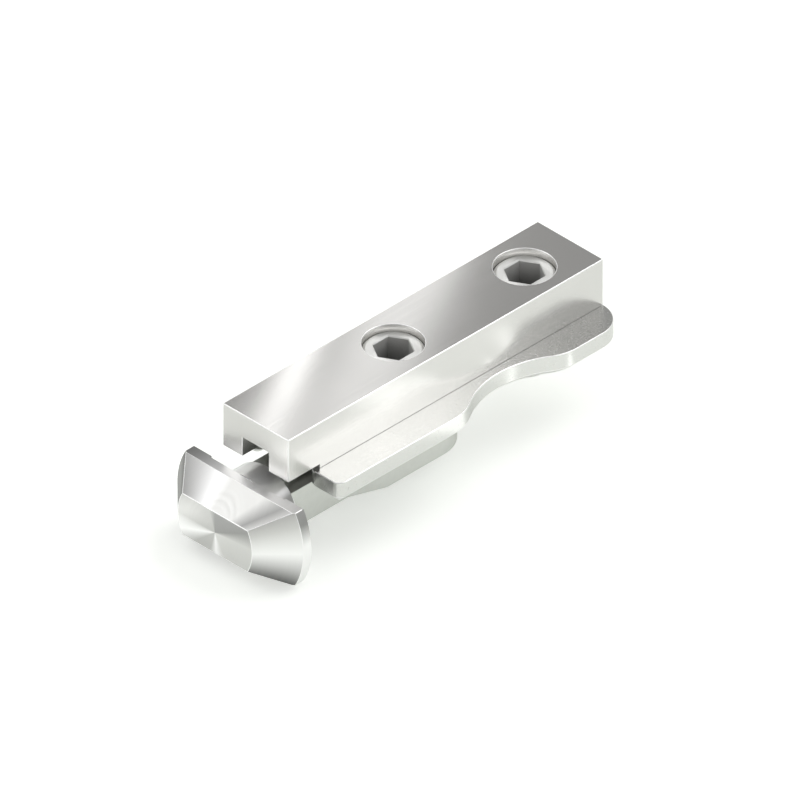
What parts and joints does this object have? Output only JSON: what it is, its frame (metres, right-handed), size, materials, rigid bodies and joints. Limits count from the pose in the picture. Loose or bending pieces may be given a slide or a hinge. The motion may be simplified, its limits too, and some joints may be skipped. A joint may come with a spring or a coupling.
{
  "type": "tensioning connector",
  "caption": "Tensioning connector for slotted frame profiles: a key bar on a wing plate, a hammer-head bolt drawn in by a cone-point set screw, and a clamping set screw.",
  "frame": {"origin": "on the joint plane where the two profiles meet, on the connector's centre line, at the underside of the slot lips, which is the top of the wing plate", "axes": "+X runs from the joint into the first profile, +Z points out of that profile's slot, and +Y completes the right-handed frame across the slot"},
  "size_m": [0.0542, 0.0192, 0.0164],
  "materials": {
    "zinc_plated_bar": "bright zinc-plated machined steel, clear passivated, with a faint green-grey tint",
    "zinc_plated_plate": "bright zinc-plated machined steel, clear passivated, with a faint green-grey tint",
    "zinc_plated_bolt": "bright zinc-plated machined steel, clear passivated, with a faint green-grey tint",
    "zinc_plated_screw": "bright zinc-plated machined steel, clear passivated, with a faint green-grey tint"
  },
  "bodies": {
    "carrier": {"key_bar": "zinc_plated_bar", "wing_plate": "zinc_plated_plate"},
    "bolt": {"tension_bolt": "zinc_plated_bolt"},
    "front_screw": {"tension_screw": "zinc_plated_screw"},
    "rear_screw": {"clamp_screw": "zinc_plated_screw"}
  },
  "joints": [
    {"name": "tension_drive", "type": "slide", "parent": "carrier", "child": "front_screw", "axis": [0, 0, -1], "range_m": [0, 0.0015]},
    {"name": "bolt_draw", "type": "slide", "parent": "carrier", "child": "bolt", "axis": [1, 0, 0], "range_m": [0, 0.0015]},
    {"name": "clamp_drive", "type": "slide", "parent": "carrier", "child": "rear_screw", "axis": [0, 0, -1], "range_m": [0, 0.0023]}
  ],
  "couplings": [
    {"joint": "bolt_draw", "follows": "tension_drive", "ratio": 1}
  ]
}
